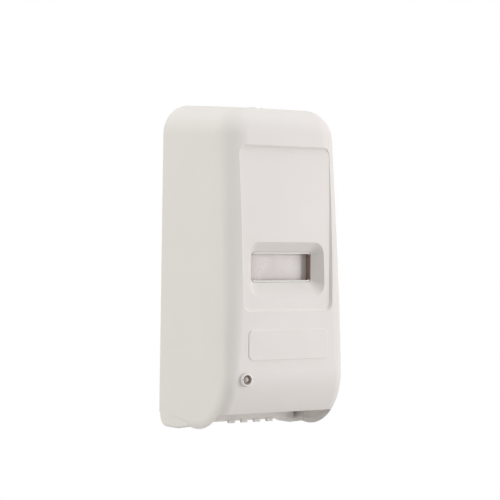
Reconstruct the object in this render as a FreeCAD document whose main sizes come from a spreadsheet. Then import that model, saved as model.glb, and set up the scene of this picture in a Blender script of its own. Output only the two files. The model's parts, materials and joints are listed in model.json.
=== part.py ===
import FreeCAD, Part
import math
import os
import re

import Sketcher
from FreeCAD import Placement, Rotation, Vector

# Wall-mounted touch-free soap dispenser, millimetres.
# X runs to the right, -Y points out of the wall and +Z is up. The origin is the centre of the
# four wall screws, on the wall plane.

doc = FreeCAD.newDocument("soap_dispenser")
sheet = doc.addObject("Spreadsheet::Sheet", "dims")

SIZES = (
    # front cover: overall form
    ("cover_width", 121.8), ("side_lean", 2.4), ("cover_depth", 111.5), ("cover_top", 118.5),
    ("reach_down", 150), ("cover_wall", 2.5), ("wall_gap", 2), ("bulge_radius", 2100),
    ("bulge_rise", 80), ("low_radius", 51), ("wing_slope", 0.185), ("corner_radius", 26),
    ("crown_radius", 22), ("edge_radius", 12), ("foot_radius", 7), ("rear_edge_radius", 3),
    ("front_edge_rise", 14), ("wing_lip", 3.2), ("top_slope", 0.075),
    ("half_width", "=cover_width / 2"), ("cover_bottom", "=-reach_down"),
    ("low_drop", 2.4), ("low_level", "=cover_bottom + low_radius - low_drop"),
    ("bulge_level", "=cover_bottom + bulge_rise"), ("bulge_y", "=bulge_radius - cover_depth"),
    ("low_y", "=bulge_y - sqrt((bulge_radius - low_radius)^2 - (low_level - bulge_level)^2)"),
    ("front_edge", "=cover_bottom + front_edge_rise"),
    ("below", "=cover_bottom - 30"), ("lean_slope", "=side_lean / (cover_top - below)"),
    ("lean_root", "=sqrt(1 + lean_slope^2)"), ("wing_root", "=sqrt(1 + wing_slope^2)"),
    ("top_root", "=sqrt(1 + top_slope^2)"),
    # hinge at the foot of the cover
    ("ear_radius", 10), ("ear_drop", 3), ("ear_sink", 0.15), ("ear_round", 2.3),
    ("ear_lean", 0.012), ("ear_reach", 40), ("ear_gap", 0.3), ("ear_skin", 1.1), ("pin_radius", 2.5),
    ("running_gap", 0.05),
    ("hinge_y", "=-wall_gap - ear_radius"),
    ("hinge_level", "=cover_bottom - ear_drop + ear_radius"),
    # front details of the cover, heights measured from the foot or the top
    ("panel_half", 44.7), ("panel_splay", 0.02), ("panel_drop", 30.3), ("panel_foot_rise", 99.2),
    ("panel_round", 7), ("panel_root", "=sqrt(1 + panel_splay^2)"),
    ("panel_depth", 2.3), ("panel_lip", 0.9),
    ("panel_top", "=cover_top - panel_drop"), ("panel_foot", "=cover_bottom + panel_foot_rise"),
    ("panel_head", "=panel_half + panel_splay * (panel_top - panel_foot)"),
    ("label_half", 40), ("label_rise", 59.2), ("label_height", 25.4), ("label_round", 5),
    ("label_proud", 0.7), ("label_foot", "=cover_bottom + label_rise"),
    ("pocket_half", 37.6), ("pocket_rise", 113.4), ("pocket_height", 44), ("pocket_round", 9.5),
    ("pocket_depth", 8), ("hole_half", 30.3), ("hole_rise", 10.2), ("hole_height", 25.6),
    ("hole_round", 3), ("pocket_foot", "=cover_bottom + pocket_rise"),
    ("hole_foot", "=pocket_foot + hole_rise"), ("frame_depth", 4.6), ("frame_wall", 2),
    ("lens_thick", 2), ("lens_lap", 3.2),
    ("pocket_y", "=-cover_depth + 1.4 + panel_depth"), ("hole_y", "=pocket_y + pocket_depth"),
    ("frame_y", "=hole_y + cover_wall"), ("lens_y", "=frame_y + frame_depth"),
    ("light_x", -42.1), ("light_rise", 43.6), ("light_level", "=cover_bottom + light_rise"),
    ("bezel_radius", 5.7), ("bezel_proud", 2.4), ("bezel_barrel", 4.45), ("light_radius", 2.9),
    # lock in the top of the cover
    ("lock_reach", 50), ("lock_radius", 9), ("lock_head", 11), ("lock_sink", 1.5),
    ("lock_length", 12.5), ("plug_radius", 6), ("cam_length", 22), ("cam_width", 8),
    ("cam_thick", 2), ("cam_tip", 3), ("cam_drop", 4.5), ("lock_y", "=-lock_reach"),
    ("lock_top", "=cover_top + top_slope * (cover_depth - lock_reach)"),
    ("cam_level", "=lock_top - lock_length - cam_thick - 0.5"),
    # back plate and wall screws
    ("screw_pitch_x", 84), ("screw_pitch_z", 100), ("screw_radius", 2.75), ("plate_thick", 3),
    ("plate_gap", 0.7), ("rim_depth", 12), ("rim_wall", 2), ("plate_round", 22),
    ("plate_half", "=half_width - side_lean - cover_wall - plate_gap + 0.1"),
    ("plate_top", "=cover_top - cover_wall - 3.5"), ("tray_gap", 1.3),
    # lower tray, under panel and outlet
    ("tray_reach", 54), ("tray_wall", 2.5), ("tray_half", "=half_width - cover_wall - tray_gap"),
    ("tray_top", "=cover_bottom + 24"), ("tray_round", 24), ("tray_low", "=cover_bottom + 0.8"),
    ("tray_nose", "=cover_bottom + 3.2"), ("rib_width", 6), ("rib_pitch", 13), ("rib_proud", 1.2),
    ("panel_reach", 88), ("under_thick", 2.5),
    ("under_level", "=tray_top - under_thick"),
    # pump module
    ("pump_back", 38), ("pump_y", "=-cover_depth + pump_back"), ("case_left", -40),
    ("case_right", 40), ("case_low", "=cover_bottom + 32"), ("case_top", "=cover_bottom + 86"),
    ("case_wall", 2), ("rotor_x", -14), ("rotor_level", "=cover_bottom + 58"),
    ("tube_radius", 3), ("tube_bend", 19.3), ("tube_gap", 0.3), ("roller_radius", 4),
    ("roller_pitch", 12), ("rotor_thick", 10.2), ("shaft_radius", 2.5),
    ("elbow", 6), ("stack_y", "=pump_y + rotor_thick / 2"), ("pump_cover_thick", 2),
    ("pump_plate_thick", 2.5), ("gear_module", 0.7), ("wheel_teeth", 42), ("pinion_teeth", 14),
    ("gear_width", 2.8), ("motor_radius", 12), ("motor_length", 17.5), ("axle_radius", 1.5),
    ("gear_centre", "=gear_module * (wheel_teeth + pinion_teeth) / 2"),
    ("gear_front", "=stack_y + pump_plate_thick + 0.8"), ("gear_back", "=gear_front + gear_width + 0.9"),
    ("motor_plate_y", "=gear_back + gear_width + 0.8"), ("motor_plate_thick", 1.5),
    ("motor_y", "=motor_plate_y + motor_plate_thick"), ("compound_x", "=rotor_x + gear_centre"),
    ("motor_x", "=compound_x + gear_centre * 0.866"), ("motor_level", "=rotor_level - gear_centre * 0.5"),
    # bottle and its dock
    ("bottle_gap", 6), ("bottle_back", 36.5), ("bottle_clear", 28), ("bottle_wall", 1.5),
    ("bottle_round", 11), ("dock_thick", 3.5), ("dock_half", 46), ("cap_radius", 16),
    ("cap_height", 11), ("cap_x", -28), ("neck_radius", 13), ("spout_radius", 7), ("spout_length", 4.5),
    ("bottle_half", "=half_width - side_lean - cover_wall - bottle_gap"),
    ("dock_top", "=case_top + 4 + dock_thick"), ("bottle_foot", "=dock_top + 0.3"),
    ("bottle_top", "=cover_top - 30"), ("bottle_front", "=-cover_depth + bottle_clear"),
    # batteries
    ("cell_radius", 13.1), ("cell_length", 50), ("cell_gap", 1), ("box_wall", 1.5),
    ("box_back", 4), ("box_top", "=cover_top - 42"), ("spring_room", 5),
    ("box_half", "=2 * cell_radius + 1.5 * cell_gap + box_wall"),
    ("box_height", "=2 * cell_length + 2 * spring_room + 2 * box_wall"),
    ("box_foot", "=box_top - box_height"), ("box_front", "=-bottle_back + 2"),
    ("door_thick", 1.4), ("cell_y", "=-box_back - box_wall - cell_radius - 0.4"),
    ("cell_x", "=cell_radius + cell_gap / 2"),
)
for row, (alias, value) in enumerate(SIZES, start=1):
    sheet.set(f"A{row}", alias)
    sheet.set(f"B{row}", str(value))
    sheet.setAlias(f"B{row}", alias)
doc.recompute()

ALIASES = {alias for alias, value in SIZES}
FRONT = Rotation(Vector(1, 0, 0), 90)
SIDE = Rotation(Vector(1, 1, 1), 120)
AXIS = {
    "X": Rotation(Vector(0, 1, 0), 90),
    "Y": Rotation(Vector(1, 0, 0), -90),
    "Z": Rotation(),
    "-Y": Rotation(Vector(1, 0, 0), 90),
    "-Z": Rotation(Vector(1, 0, 0), 180),
}
parts = {}


def bound(text):
    """An expression in which each size is read from the sheet."""
    return re.sub(r"[a-z_]+[a-z0-9_]*", lambda m: f"dims.{m[0]}" if m[0] in ALIASES else m[0], str(text))


def size(text):
    """The number that an expression stands for."""
    return float(sheet.evalExpression(bound(text)))


def place(item, at, turn=None):
    """Put an object at a point given as three expressions."""
    if turn is not None:
        item.Placement = Placement(Vector(), turn)
    for axis, text in zip("xyz", at):
        item.setExpression(f".Placement.Base.{axis}", bound(text))
    return item


def keep(node, item):
    """Name the object that is the finished sub-part."""
    item.Label = node
    parts[node] = item
    return item


def box(length, width, height, at):
    item = doc.addObject("Part::Box", "block")
    for key, text in (("Length", length), ("Width", width), ("Height", height)):
        item.setExpression(key, bound(text))
    return place(item, at)


def between(low, high):
    """A box from its lowest corner to its highest one."""
    sides = [f"({b}) - ({a})" for a, b in zip(low, high)]
    return box(*sides, low)


def rod(radius, length, at, axis="Z"):
    item = doc.addObject("Part::Cylinder", "rod")
    item.setExpression("Radius", bound(radius))
    item.setExpression("Height", bound(length))
    return place(item, at, AXIS[axis])


def cone(foot, top, length, at, axis="Z"):
    item = doc.addObject("Part::Cone", "taper")
    item.setExpression("Radius1", bound(foot))
    item.setExpression("Radius2", bound(top))
    item.setExpression("Height", bound(length))
    return place(item, at, AXIS[axis])


def join(*items):
    item = doc.addObject("Part::MultiFuse", "joined")
    item.Shapes = list(items)
    item.Refine = True
    return item


def cut(base, *tools):
    item = doc.addObject("Part::Cut", "cut")
    item.Base = base
    item.Tool = tools[0] if len(tools) == 1 else join(*tools)
    item.Refine = True
    return item


def common(*items):
    item = doc.addObject("Part::MultiCommon", "shared")
    item.Shapes = list(items)
    return item


def group(*items):
    item = doc.addObject("Part::Compound", "group")
    item.Links = list(items)
    return item


def rounded(base, radius, chosen):
    """Fillet the edges for which chosen(edge) is true, or gives its two end radii."""
    doc.recompute()
    edges = []
    for number, edge in enumerate(base.Shape.Edges, start=1):
        answer = chosen(edge)
        if answer:
            ends = answer if isinstance(answer, tuple) else (size(radius), size(radius))
            edges.append((number, *ends))
    item = doc.addObject("Part::Fillet", "rounded")
    item.Base = base
    item.Edges = edges
    return item


def outline(path, turn, at=(0, 0, 0), owner=None, plane=None):
    """A sketch through points (u, v), each followed by the radius of an arc to the next one.
    A negative radius bows the arc to the right of the way along it."""
    if owner is None:
        sketch = place(doc.addObject("Sketcher::SketchObject", "outline"), at, turn)
    else:
        sketch = owner.newObject("Sketcher::SketchObject", "outline")
        base = [item for item in owner.Origin.OriginFeatures if item.Role == plane][0]
        sketch.AttachmentSupport = (base, "")
        sketch.MapMode = "FlatFace"
    ends = []
    count = len(path)
    for index, (u, v, *bend) in enumerate(path):
        start = Vector(size(u), size(v), 0)
        after = path[(index + 1) % count]
        stop = Vector(size(after[0]), size(after[1]), 0)
        if not bend:
            sketch.addGeometry(Part.LineSegment(start, stop))
            ends.append((1, 2))
            continue
        radius = size(bend[0])
        half = (stop - start) / 2
        side = Vector(-half.y, half.x, 0).normalize() * math.copysign(1, radius)
        rise = math.sqrt(max(radius * radius - half.Length ** 2, 0))
        centre = start + half + side * rise
        turns = [math.atan2(p.y - centre.y, p.x - centre.x) for p in (start, stop)]
        if radius < 0:
            turns.reverse()
        circle = Part.Circle(centre, Vector(0, 0, 1), abs(radius))
        sketch.addGeometry(Part.ArcOfCircle(circle, *turns))
        ends.append((1, 2) if radius > 0 else (2, 1))
    for index, (u, v, *bend) in enumerate(path):
        for key, text in (("DistanceX", u), ("DistanceY", v)):
            number = sketch.addConstraint(
                Sketcher.Constraint(key, -1, 1, index, ends[index][0], size(text)))
            sketch.setExpression(f"Constraints[{number}]", bound(text))
        follower = (index + 1) % count
        sketch.addConstraint(Sketcher.Constraint(
            "Coincident", index, ends[index][1], follower, ends[follower][0]))
        if bend:
            number = sketch.addConstraint(
                Sketcher.Constraint("Radius", index, abs(size(bend[0]))))
            sketch.setExpression(f"Constraints[{number}]", bound(f"abs({bend[0]})"))
    return sketch


def frame_path(left, low, right, high, radius):
    """A rectangle with round corners."""
    l, b, r, t, c = (f"({text})" for text in (left, low, right, high, radius))
    return [
        (f"{l} + {c}", b), (f"{r} - {c}", b, c), (r, f"{b} + {c}"), (r, f"{t} - {c}", c),
        (f"{r} - {c}", t), (f"{l} + {c}", t, c), (l, f"{t} - {c}"), (l, f"{b} + {c}", c),
    ]


def slab(sketch, direction, ahead, behind="0"):
    item = doc.addObject("Part::Extrusion", "slab")
    item.Base = sketch
    item.DirMode = "Custom"
    item.Dir = direction
    item.Solid = True
    item.setExpression("LengthFwd", bound(ahead))
    item.setExpression("LengthRev", bound(behind))
    return item


def front_slab(path, back, front):
    """An outline in X and Z, from y = back out to y = front."""
    return slab(outline(path, FRONT, ("0", back, "0")), Vector(0, -1, 0), f"({back}) - ({front})")


def turned(node, profile, at, axis="Z"):
    """A body turned from a half profile of (radius, height) points about its own Z."""
    body = doc.addObject("PartDesign::Body", "body")
    sketch = outline(profile, None, owner=body, plane="XZ_Plane")
    feature = body.newObject("PartDesign::Revolution", "revolution")
    feature.Profile = sketch
    feature.ReferenceAxis = (sketch, ["V_Axis"])
    feature.Angle = 360
    place(body, at, AXIS[axis])
    return keep(node, body)


def pressed(node, path, thickness, at, holes=(), plane="XZ_Plane"):
    """A flat body padded from an outline towards -Y or +Z, with round holes through it."""
    body = doc.addObject("PartDesign::Body", "body")
    sketch = outline(path, None, owner=body, plane=plane)
    pad = body.newObject("PartDesign::Pad", "pad")
    pad.Profile = sketch
    pad.setExpression("Length", bound(thickness))
    for u, v, radius in holes:
        drill = body.newObject("Sketcher::SketchObject", "drill")
        base = [item for item in body.Origin.OriginFeatures if item.Role == plane][0]
        drill.AttachmentSupport = (base, "")
        drill.MapMode = "FlatFace"
        drill.addGeometry(Part.Circle(Vector(size(u), size(v), 0), Vector(0, 0, 1), size(radius)))
        for number, (key, text) in enumerate((("DistanceX", u), ("DistanceY", v))):
            drill.addConstraint(Sketcher.Constraint(key, -1, 1, 0, 3, size(text)))
            drill.setExpression(f"Constraints[{number}]", bound(text))
        drill.addConstraint(Sketcher.Constraint("Radius", 0, size(radius)))
        drill.setExpression("Constraints[2]", bound(radius))
        pocket = body.newObject("PartDesign::Pocket", "pocket")
        pocket.Profile = drill
        pocket.Type = 1
        pocket.Midplane = True
    place(body, at)
    return keep(node, body)


# ---------------------------------------------------------------- front cover

def left_half():
    return between(("-half_width - 5", "-cover_depth - 10", "below - 5"), ("0", "20", "cover_top + 25"))


def cover_form(inset, back):
    """The left half of the cover's filled form, drawn in from its outside by the inset."""
    i, bulge, low = f"({inset})", f"(bulge_radius - ({inset}))", f"(low_radius - ({inset}))"
    top, crest = f"(cover_top - {i})", "(cover_top + 20)"
    reach = "(bulge_radius - low_radius)"
    knee_y = f"bulge_y + {bulge} * (low_y - bulge_y) / {reach}"
    knee_z = f"bulge_level + {bulge} * (low_level - bulge_level) / {reach}"
    heel_y = f"(low_y + {low} * wing_slope / wing_root)"
    heel_z = f"(low_level - {low} / wing_root)"
    profile = outline([
        (back, crest), (f"bulge_y - sqrt({bulge}^2 - ({crest} - bulge_level)^2)", crest, bulge),
        (knee_y, knee_z, low), (heel_y, heel_z),
        (back, f"{heel_z} + (({back}) - {heel_y}) * wing_slope"),
    ], SIDE)
    wide = slab(profile, Vector(1, 0, 0), "half_width + 5", "half_width + 5")
    foot_x = f"(half_width - {i} * lean_root)"
    top_x = f"({foot_x} - ({top} - below) * lean_slope)"
    bend = f"(corner_radius - {i})"
    centre = f"({top_x} + lean_slope * {bend} - {bend} * lean_root)"
    side_x = f"({centre} + {bend} / lean_root)"
    side_z = f"{top} - {bend} + {bend} * lean_slope / lean_root"
    face = [
        (f"-{foot_x}", "below"), (foot_x, "below"), (side_x, side_z, bend), (centre, top),
        (f"-{centre}", top, bend), (f"-{side_x}", side_z),
    ]
    slope = size("top_slope")
    out = Vector(0, -1, -slope)
    turn = Rotation(Vector(1, 0, 0), 90 + math.degrees(math.atan(slope)))
    start = ("0", "0.2 * cover_depth + cover_top * top_slope / top_root",
             "cover_top + 1.2 * cover_depth * top_slope - cover_top / top_root")
    tall = slab(outline(face, turn, start), out, "1.4 * cover_depth")
    form = common(wide, tall, left_half())
    edge, crown, foot, rear = (size(f"{name} - {i}") for name in (
        "edge_radius", "crown_radius", "foot_radius", "rear_edge_radius"))
    rear = max(rear, 0.5)

    def front_or_foot(face_):
        kind = face_.Surface
        if isinstance(kind, Part.Cylinder):
            return abs(kind.Axis.x) > 0.9
        level = isinstance(kind, Part.Plane) and abs(kind.Axis.x) < 0.1
        return level and face_.CenterOfMass.z < size("low_level")

    def chosen(line):
        faces = form.Shape.ancestorsOfType(line, Part.Face)
        marks = [front_or_foot(item) for item in faces]
        if sum(marks) != 1:
            return False
        ends = [line.valueAt(line.FirstParameter), line.valueAt(line.LastParameter)]
        if min(p.y for p in ends) > size(back) - 0.1:
            return False
        other = faces[1 - marks.index(True)].Surface
        own = faces[marks.index(True)].Surface
        middle = abs(line.CenterOfMass.x) < 0.01
        if isinstance(other, Part.Plane) and (middle or abs(other.Axis.y) > 0.9):
            return False
        if isinstance(other, Part.Cylinder):
            if line.Orientation == "Reversed":
                ends.reverse()
            return tuple(crown if p.z > size(top) - 0.1 else edge for p in ends)
        if abs(other.Axis.z) > 0.9:
            return (crown, crown)
        if isinstance(own, Part.Plane):
            return tuple(rear if p.y > size(back) - 0.1 else foot for p in ends)
        if own.Radius > size("low_radius") + 1:
            return (edge, edge)
        return tuple(edge if p.z > size("low_level - 0.8 * low_radius") else foot for p in ends)

    return rounded(form, "edge_radius", chosen)


def behind_front(depth, back):
    """The space further back than a given depth behind the front face, to cut flat tools with."""
    profile = outline([
        (back, "cover_top + 20"),
        (f"bulge_y - sqrt((bulge_radius - ({depth}))^2 - (cover_top + 20 - bulge_level)^2)",
         "cover_top + 20", f"bulge_radius - ({depth})"),
        (f"bulge_y - sqrt((bulge_radius - ({depth}))^2 - (below - bulge_level)^2)", "below"),
        (back, "below"),
    ], SIDE)
    return slab(profile, Vector(1, 0, 0), "half_width + 10", "half_width + 10")


def panel_path(grow):
    """The outline of the large front panel, whose sides splay a little toward its top."""
    bend = f"(panel_round + {grow})"
    low = f"(panel_half + {grow} * (panel_root - panel_splay))"
    high = f"(panel_head + {grow} * (panel_root + panel_splay))"
    low_cut, high_cut = (f"({bend} * (panel_root {sign} panel_splay))" for sign in "-+")
    low_x = f"{low} + panel_splay * {low_cut} / panel_root"
    high_x = f"{high} - panel_splay * {high_cut} / panel_root"
    foot, top = f"(panel_foot - {grow})", f"(panel_top + {grow})"
    low_z, high_z = f"{foot} + {low_cut} / panel_root", f"{top} - {high_cut} / panel_root"
    return [
        (f"{low_cut} - {low}", foot), (f"{low} - {low_cut}", foot, bend),
        (low_x, low_z), (high_x, high_z, bend),
        (f"{high} - {high_cut}", top), (f"{high_cut} - {high}", top, bend),
        (f"-({high_x})", high_z), (f"-({low_x})", low_z, bend),
    ]


def recess(depth, grow, slope):
    """The tool that sinks the large front panel, with walls that lean by the slope."""
    tool = cut(front_slab(panel_path(grow), "-cover_depth / 2", "-cover_depth - 5"),
               behind_front(depth, "-cover_depth / 2 + 5"))
    if not slope:
        return tool
    deep = size("bulge_radius") - size(depth)
    centre = Vector(0, size("bulge_y"), size("bulge_level"))

    def on_floor(line):
        p = line.valueAt((line.FirstParameter + line.LastParameter) / 2)
        away = math.hypot(p.y - centre.y, p.z - centre.z)
        return abs(away - deep) < 0.01

    doc.recompute()
    item = doc.addObject("Part::Chamfer", "leaning")
    item.Base = tool
    item.Edges = [(number, size(slope), size(slope))
                  for number, line in enumerate(tool.Shape.Edges, start=1) if on_floor(line)]
    return item


def funnel(grow, front, back):
    """The tapering window pocket, grown all round by a given amount."""
    rates = {
        "half": "(pocket_half - hole_half) / pocket_depth",
        "foot": "(hole_foot - pocket_foot) / pocket_depth",
        "top": "(pocket_foot + pocket_height - hole_foot - hole_height) / pocket_depth",
        "bend": "(pocket_round - hole_round) / pocket_depth",
    }
    ends = []
    for level in (front, back):
        ahead = f"(hole_y - ({level}))"
        half = f"hole_half + {ahead} * {rates['half']} + {grow}"
        ends.append(outline(frame_path(
            f"-({half})", f"hole_foot - {ahead} * {rates['foot']} - {grow}", half,
            f"hole_foot + hole_height + {ahead} * {rates['top']} + {grow}",
            f"hole_round + {ahead} * {rates['bend']} + {grow}"), FRONT, ("0", level, "0")))
    item = doc.addObject("Part::Loft", "funnel")
    item.Sections = ends
    item.Solid = True
    item.Ruled = True
    return item


def hole_path(grow):
    return frame_path(f"-hole_half - {grow}", f"hole_foot - {grow}", f"hole_half + {grow}",
                      f"hole_foot + hole_height + {grow}", f"hole_round + {grow}")


def ears(radius, inner, outer):
    """Rods on the hinge axis, one each side."""
    return [rod(radius, f"{outer} - ({inner})", (start, "hinge_y", "hinge_level"), "X")
            for start in (inner, f"-({outer})")]


def cover_foot():
    """The round foot of the cover's left side, which turns about the hinge pin and runs on
    forward under the side as a lobe that leans inward."""
    side = outline([
        ("hinge_y + ear_radius", "hinge_level + ear_radius"),
        ("hinge_y - 0.3 * ear_reach", "hinge_level + ear_radius"),
        ("hinge_y - ear_reach", "hinge_level + 2"),
        ("hinge_y - ear_reach", "hinge_level - 0.65 * ear_radius"),
        ("hinge_y - 0.45 * ear_reach", "hinge_level - ear_radius"),
        ("hinge_y", "hinge_level - ear_radius", "ear_radius"),
        ("hinge_y + ear_radius", "hinge_level"),
    ], SIDE)
    depth = "hinge_y - ear_reach - 5"
    wedge = outline([
        ("-tray_half - ear_gap", "1"), ("-half_width + ear_sink", "1"),
        (f"-half_width + ear_sink - ear_lean * ({depth})", depth), ("-tray_half - ear_gap", depth),
    ], Rotation(), ("0", "0", "below"))
    return common(slab(side, Vector(1, 0, 0), "0", "half_width + 5"), slab(wedge, Vector(0, 0, 1), "60"))


def front_cover():
    outside = cover_form("0", "-wall_gap")
    inside = cover_form("cover_wall", "5")
    panel = recess("panel_depth", "0", "panel_lip * 2.2")
    backing = recess("panel_depth + cover_wall", "cover_wall", "")
    pocket = funnel("0", "-cover_depth - 1", "hole_y")
    pocket_backing = funnel("cover_wall", "-cover_depth + 5", "frame_y")
    label = common(
        front_slab(frame_path("-label_half", "label_foot", "label_half", "label_foot + label_height",
                              "label_round"), "-cover_depth + 4", "-cover_depth - 5"),
        behind_front("-label_proud", "-cover_depth / 2"))

    def on_pad(line):
        p = line.valueAt((line.FirstParameter + line.LastParameter) / 2)
        away = math.hypot(p.y - size("bulge_y"), p.z - size("bulge_level"))
        return abs(away - size("bulge_radius + label_proud")) < 0.01

    pad = common(rounded(label, "label_proud * 0.8", on_pad), left_half())
    cavity = cut(inside, backing, pocket_backing)
    mouth = between(("-half_width + wing_lip", "-cover_depth - 5", "below"),
                    ("half_width - wing_lip", "10", "front_edge"))
    tray_room = between(("-half_width + wing_lip", "-tray_reach - 4", "below"),
                        ("half_width - wing_lip", "10", "tray_top + 1"))
    shell = cut(join(outside, pad), panel, pocket, cavity, mouth, tray_room,
                front_slab(hole_path("0"), "0", "-cover_depth"))

    def on_outer_face(line):
        p = line.CenterOfMass
        return abs(size("half_width - ear_sink") + (p.y - 1) * size("ear_lean") + p.x) < 0.05

    foot = rounded(cover_foot(), "ear_round", on_outer_face)
    left = join(shell, foot)
    right = doc.addObject("Part::Mirroring", "mirrored")
    right.Source = left
    right.Normal = Vector(1, 0, 0)
    bores = ears("pin_radius + running_gap", "tray_half - 2", "half_width - ear_sink - ear_skin")
    light = ("light_x", "-cover_depth - 5", "light_level")
    seat = rod("bezel_radius + 0.05", "5.8", light, "Y")
    barrel = rod("bezel_barrel + 0.05", "20", light, "Y")
    keyhole = rod("lock_radius + 0.1", "20", ("0", "lock_y", "lock_top - 10"))
    keyseat = rod("lock_head + 0.1", "20", ("0", "lock_y", "lock_top - lock_sink"))
    return keep("front_cover", cut(join(left, right), *bores, seat, barrel, keyhole, keyseat))


def window():
    """The frame behind the cover's window, its lens and the four screws that hold both."""
    tunnel = cut(front_slab(hole_path("frame_wall"), "lens_y", "frame_y"),
                 front_slab(hole_path("0"), "lens_y + 5", "frame_y - 5"))
    spots = [(f"{side} * (hole_half + lens_lap + 2.6)", level)
             for side in (-1, 1) for level in ("hole_foot + 3", "hole_foot + hole_height - 3")]
    posts = [rod("3", "frame_depth", (x, "lens_y", z), "-Y") for x, z in spots]
    wings = front_slab(frame_path("-hole_half - lens_lap - 6", "hole_foot - 1.5",
                                  "hole_half + lens_lap + 6", "hole_foot + hole_height + 1.5", "3"),
                       "lens_y", "lens_y - 1.5")
    through = front_slab(hole_path("0"), "lens_y + 5", "frame_y - 5")
    pilots = [rod("0.9", "5", (x, "lens_y + 0.1", z), "-Y") for x, z in spots]
    keep("window_frame", cut(join(tunnel, *posts, cut(wings, through)), *pilots))
    pressed("window_lens", frame_path("-hole_half - lens_lap - 6", "hole_foot - 1.5",
                                      "hole_half + lens_lap + 6", "hole_foot + hole_height + 1.5", "3"),
            "lens_thick", ("0", "lens_y + lens_thick", "0"), [(x, z, "1.1") for x, z in spots])
    screws = [join(rod("0.88", "lens_thick + 4", (x, "lens_y + lens_thick", z), "-Y"),
                   rod("1.7", "1", (x, "lens_y + lens_thick + 1", z), "-Y")) for x, z in spots]
    keep("window_screws", group(*screws))


def indicator():
    """The round sensor light: a raised bezel with a dark well and a dome in the middle."""
    at = ("light_x", "-cover_depth + 0.8", "light_level")
    turned("indicator_bezel", [
        ("bezel_radius", "0"), ("bezel_radius", "bezel_proud - 0.5"),
        ("bezel_radius - 0.3", "bezel_proud + 0.2"), ("bezel_radius - 0.9", "bezel_proud + 0.6"),
        ("light_radius + 1.2", "bezel_proud + 0.6"), ("light_radius + 0.9", "-0.5"),
        ("light_radius + 0.05", "-1.5"), ("light_radius + 0.05", "-7"), ("bezel_barrel", "-7"),
        ("bezel_barrel", "0"),
    ], at, "-Y")
    turned("indicator_light", [
        ("0", "-8"), ("light_radius + 0.4", "-8"), ("light_radius + 0.4", "-7"), ("light_radius", "-7"),
        ("light_radius", "0"), ("light_radius * 0.85", "1"), ("light_radius * 0.5", "1.8"), ("0", "2.1"),
    ], at, "-Y")


def lock():
    """The key lock in the top of the cover: barrel, nut, turning plug and cam."""
    at = ("0", "lock_y", "lock_top")
    turned("lock_barrel", [
        ("plug_radius + 0.1", "-lock_length"), ("lock_radius", "-lock_length"),
        ("lock_radius", "-lock_sink"), ("lock_head", "-lock_sink"), ("lock_head", "-0.1"),
        ("plug_radius + 0.1", "-0.1"),
    ], at)
    nut = cut(rod("lock_head + 1", "3", ("0", "lock_y", "lock_top - cover_wall - 4.3")),
              rod("lock_radius + 0.02", "6", ("0", "lock_y", "lock_top - cover_wall - 5")))
    keep("lock_nut", nut)
    foot = "cam_level + cam_thick"
    plug = join(rod("plug_radius", f"lock_top - 0.4 - ({foot})", ("0", "lock_y", foot)),
                between(("-1.8", "lock_y - 1.8", "cam_level - 1.2"), ("1.8", "lock_y + 1.8", foot)))
    keep("lock_plug", cut(plug, between(("-3.6", "lock_y - 0.6", "lock_top - 7"),
                                        ("3.6", "lock_y + 0.6", "lock_top + 1"))))
    arm = join(rod("cam_width / 2 + 3", "cam_thick", ("0", "lock_y", "cam_level")),
               between(("0", "lock_y - cam_width / 2", "cam_level"),
                       ("cam_length", "lock_y + cam_width / 2", "cam_level + cam_thick")),
               between(("cam_length - cam_tip", "lock_y - cam_width / 2", "cam_level - cam_drop"),
                       ("cam_length", "lock_y + cam_width / 2", "cam_level + cam_thick")))
    keep("lock_cam", cut(arm, between(("-1.85", "lock_y - 1.85", "cam_level - 1"),
                                      ("1.85", "lock_y + 1.85", "cam_level + cam_thick + 1"))))
    keep("cam_screw", rod("3.2", "1.4", ("0", "lock_y", "cam_level - 2.6")))


def back_plate():
    """The plate that is screwed to the wall, with a rim that stiffens it."""
    def plate(inset, back, front, foot):
        i = f"({inset})"
        return front_slab([
            (f"-plate_half + {i}", foot), (f"plate_half - {i}", foot),
            (f"plate_half - {i}", "plate_top - plate_round", f"plate_round - {i}"),
            (f"plate_half - plate_round", f"plate_top - {i}"),
            (f"-plate_half + plate_round", f"plate_top - {i}", f"plate_round - {i}"),
            (f"-plate_half + {i}", "plate_top - plate_round"),
        ], back, front)

    tub = cut(plate("0", "0", "-rim_depth", "tray_top + 1"),
              plate("rim_wall", "-plate_thick", "-rim_depth - 5", "tray_top - 5"))
    holes = [rod("screw_radius", "plate_thick + 2", (f"{sx} * screw_pitch_x / 2", "1",
             f"{sz} * screw_pitch_z / 2"), "-Y") for sx in (-1, 1) for sz in (-1, 1)]
    keep("back_plate", cut(tub, *holes))
    catch_top = "cam_level - 0.7"
    shelf = "cam_level - cam_drop - 1"
    keep("latch_striker", join(
        between(("-5", "-lock_reach + cam_length - cam_tip - 5", f"{shelf} - 3"),
                ("5", "-plate_thick", shelf)),
        between(("-5", "-lock_reach + cam_length - cam_tip - 5", f"{shelf} - 3"),
                ("5", "-lock_reach + cam_length - cam_tip - 2.3", catch_top)),
        between(("-9", "-plate_thick - 2", f"{shelf} - 12"), ("9", "-plate_thick", shelf))))


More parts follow.
